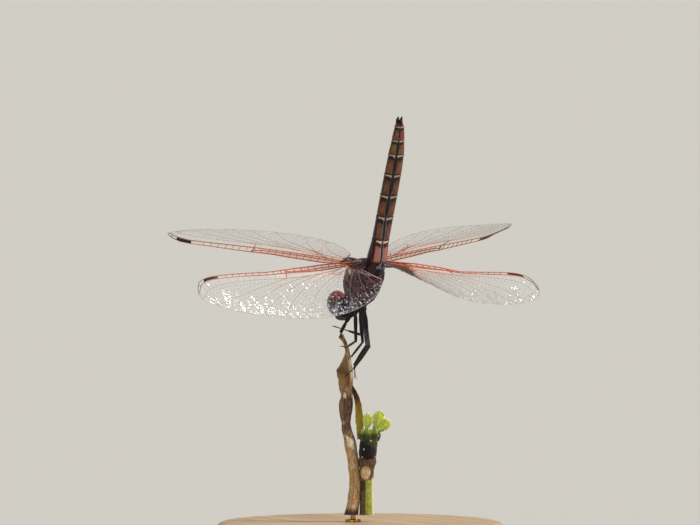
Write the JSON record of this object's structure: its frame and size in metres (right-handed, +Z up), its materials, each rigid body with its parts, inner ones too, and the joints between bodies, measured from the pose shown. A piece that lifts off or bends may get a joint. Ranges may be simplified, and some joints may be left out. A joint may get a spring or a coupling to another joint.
{
  "type": "dragonfly",
  "caption": "Life-size still model of a dropwing dragonfly in its obelisk posture, tail up and wings forward, gripping a twig tip on a small round stand.",
  "frame": {"origin": "centre of the underside of the display stand's round base", "axes": "+Z up, +Y the way the insect heads, -X its left side"},
  "size_m": [0.0654, 0.044, 0.0674],
  "materials": {
    "thorax": "satin shell, blackish maroon with fine hairs",
    "abdomen": "satin shell, crimson above, red-brown patches with pale bars below",
    "leg": "satin black shell with violet-grey bloom",
    "eye": "glossy, dark red above and blue-grey below",
    "face": "satin shell, brown to metallic purple",
    "wing": "clear thin membrane with orange-red veins",
    "twig": "rough dry bark, pale tan",
    "dry_leaf": "dry leaf, mustard yellow to dark red-brown",
    "bud": "downy bud scales, dark grey-green",
    "green_leaf": "fresh leaf and green shoot, soft satin",
    "stand_wood": "oiled pale maple",
    "stand_brass": "satin brass"
  },
  "bodies": {
    "root": {"eye_left": "eye", "eye_right": "eye", "face": "face", "head": "thorax", "antenna_left": "leg", "antenna_right": "leg", "thorax": "thorax", "neck": "thorax", "abdomen_1": "abdomen", "abdomen_2": "abdomen", "abdomen_3": "abdomen", "abdomen_4": "abdomen", "abdomen_5": "abdomen", "abdomen_6": "abdomen", "abdomen_7": "abdomen", "abdomen_8": "abdomen", "abdomen_9": "abdomen", "abdomen_10": "abdomen", "cercus_left": "leg", "cercus_right": "leg", "epiproct": "leg", "fore_wing_left": "wing", "fore_wing_right": "wing", "hind_wing_left": "wing", "hind_wing_right": "wing", "fore_leg_left_femur": "leg", "fore_leg_left_tibia": "leg", "fore_leg_left_tarsus": "leg", "fore_leg_right_femur": "leg", "fore_leg_right_tibia": "leg", "fore_leg_right_tarsus": "leg", "middle_leg_left_femur": "leg", "middle_leg_left_tibia": "leg", "middle_leg_left_tarsus": "leg", "middle_leg_right_femur": "leg", "middle_leg_right_tibia": "leg", "middle_leg_right_tarsus": "leg", "hind_leg_left_femur": "leg", "hind_leg_left_tibia": "leg", "hind_leg_left_tarsus": "leg", "hind_leg_right_femur": "leg", "hind_leg_right_tibia": "leg", "hind_leg_right_tarsus": "leg", "perch_stem": "twig", "perch_shoot": "green_leaf", "perch_bark": "twig", "perch_dry_leaf": "dry_leaf", "perch_bud": "bud", "leaflet_left": "green_leaf", "leaflet_middle": "green_leaf", "leaflet_right": "green_leaf", "stand_base": "stand_wood", "stand_rod": "stand_brass"}
  },
  "joints": []
}
